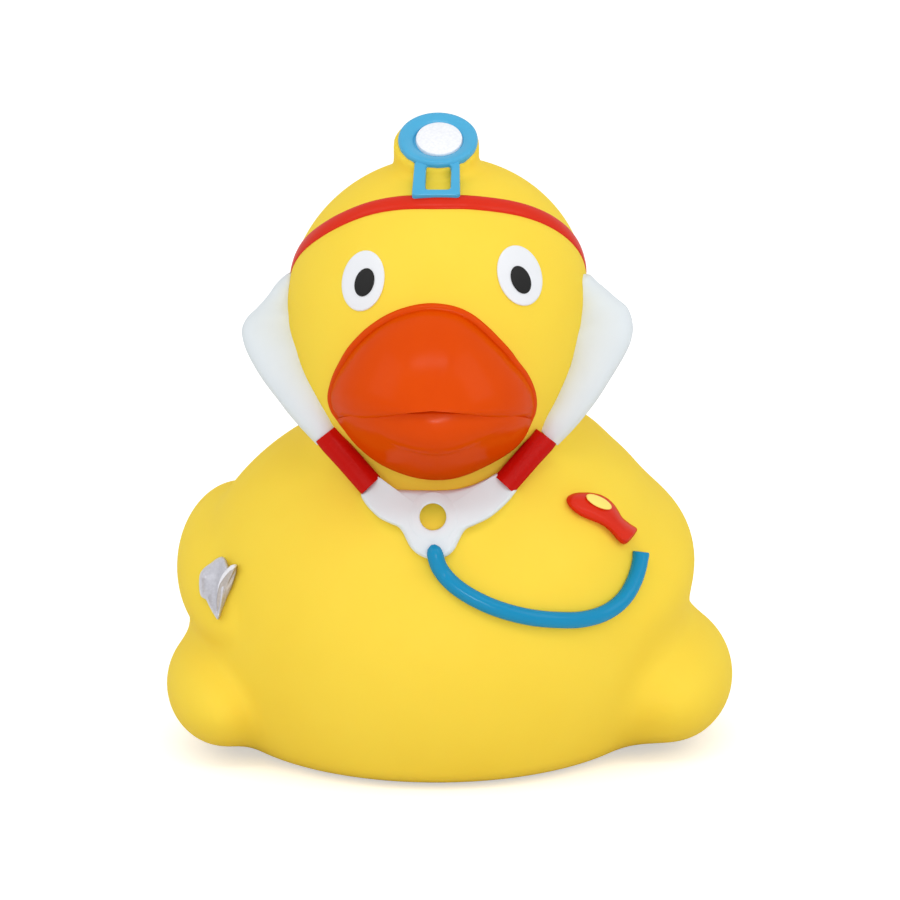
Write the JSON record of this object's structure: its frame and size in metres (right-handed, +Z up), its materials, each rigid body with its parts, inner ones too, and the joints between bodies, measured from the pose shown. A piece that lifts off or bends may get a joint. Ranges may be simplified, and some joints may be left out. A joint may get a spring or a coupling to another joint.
{
  "type": "rubber duck",
  "caption": "Rubber duck dressed as a doctor: soft vinyl bath toy with an orange bill, a red headband carrying a head mirror, and a stethoscope moulded on its neck and breast.",
  "frame": {"origin": "on the ground, under the middle of the duck's length and width", "axes": "+Z up, the duck looks along -Y, +X is on the viewer's right in the picture"},
  "size_m": [0.0722, 0.0722, 0.0809],
  "materials": {
    "vinyl": "satin",
    "bill_paint": "gloss",
    "red_paint": "gloss",
    "sleeve_paint": "gloss",
    "white_paint": "gloss",
    "blue_paint": "gloss",
    "black_paint": "gloss",
    "silver_paint": "metallic"
  },
  "bodies": {
    "root": {"duck": "vinyl"}
  },
  "joints": []
}
